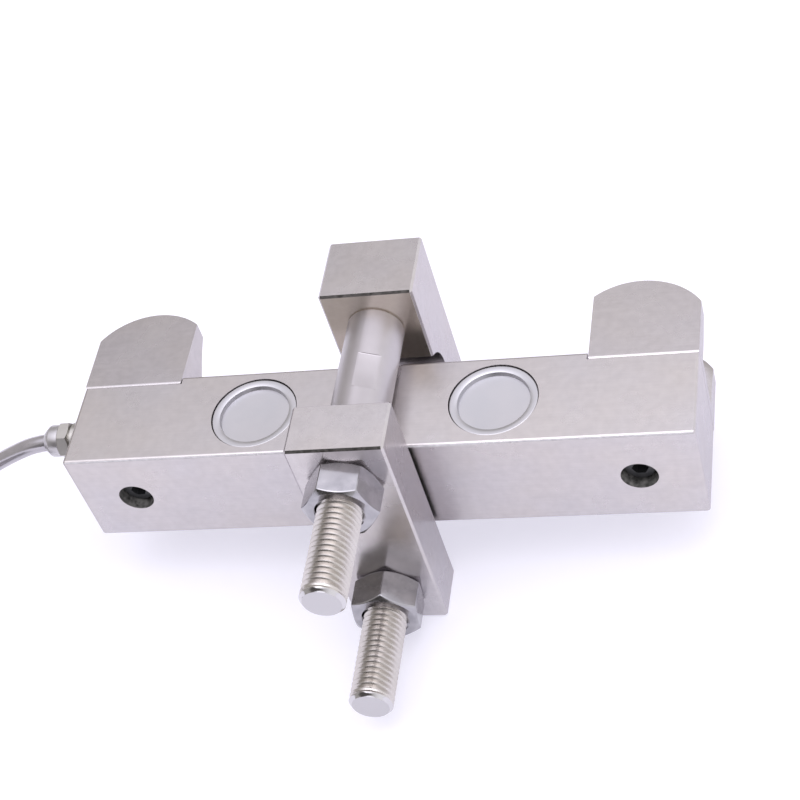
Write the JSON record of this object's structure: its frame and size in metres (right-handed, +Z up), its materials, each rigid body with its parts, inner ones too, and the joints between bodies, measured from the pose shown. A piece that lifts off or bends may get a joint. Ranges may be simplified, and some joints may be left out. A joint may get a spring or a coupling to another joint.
{
  "type": "tension load cell",
  "caption": "Side-pressure wire rope tension load cell: a shear beam with grooved rope saddles at its ends, and a clamp of two jaws on shouldered studs with nuts.",
  "frame": {"origin": "on the floor under the middle of the beam's length, midway between the stud tips and the clamp block's back", "axes": "+X along the beam away from the cable, +Y from the studs' free ends towards the rope saddles, +Z up"},
  "size_m": [0.4499, 0.1728, 0.112],
  "materials": {
    "ground_steel": "fine ground, plated, satin",
    "turned_steel": "turned and plated",
    "plated_steel": "bright zinc plate",
    "cover_steel": "pressed stainless sheet",
    "black_steel": "black oxide",
    "nickel_plate": "nickel plate",
    "seal_rubber": "matte",
    "gauge_film": "amber film",
    "board_laminate": "laminate",
    "lead_plastic": "insulated cores",
    "cable_jacket": "smooth grey jacket",
    "tie_plastic": "plain strap"
  },
  "bodies": {
    "root": {"load_beam": "ground_steel", "left_rope_saddle": "ground_steel", "right_rope_saddle": "ground_steel", "front_clamp_plate": "ground_steel", "rear_clamp_block": "ground_steel", "upper_stud": "turned_steel", "lower_stud": "turned_steel", "upper_nut": "plated_steel", "lower_nut": "plated_steel", "top_left_gauge_cover": "cover_steel", "top_right_gauge_cover": "cover_steel", "bottom_left_gauge_cover": "cover_steel", "bottom_right_gauge_cover": "cover_steel", "left_saddle_screw": "black_steel", "right_saddle_screw": "black_steel", "gland_body": "nickel_plate", "gland_cap": "nickel_plate", "gland_seal": "seal_rubber", "top_left_gauge": "gauge_film", "top_right_gauge": "gauge_film", "bottom_left_gauge": "gauge_film", "bottom_right_gauge": "gauge_film", "bridge_terminal_board": "board_laminate", "gland_lead": "lead_plastic", "cross_lead": "lead_plastic", "signal_cable": "cable_jacket", "cable_coil": "cable_jacket", "coil_tie": "tie_plastic"}
  },
  "joints": []
}
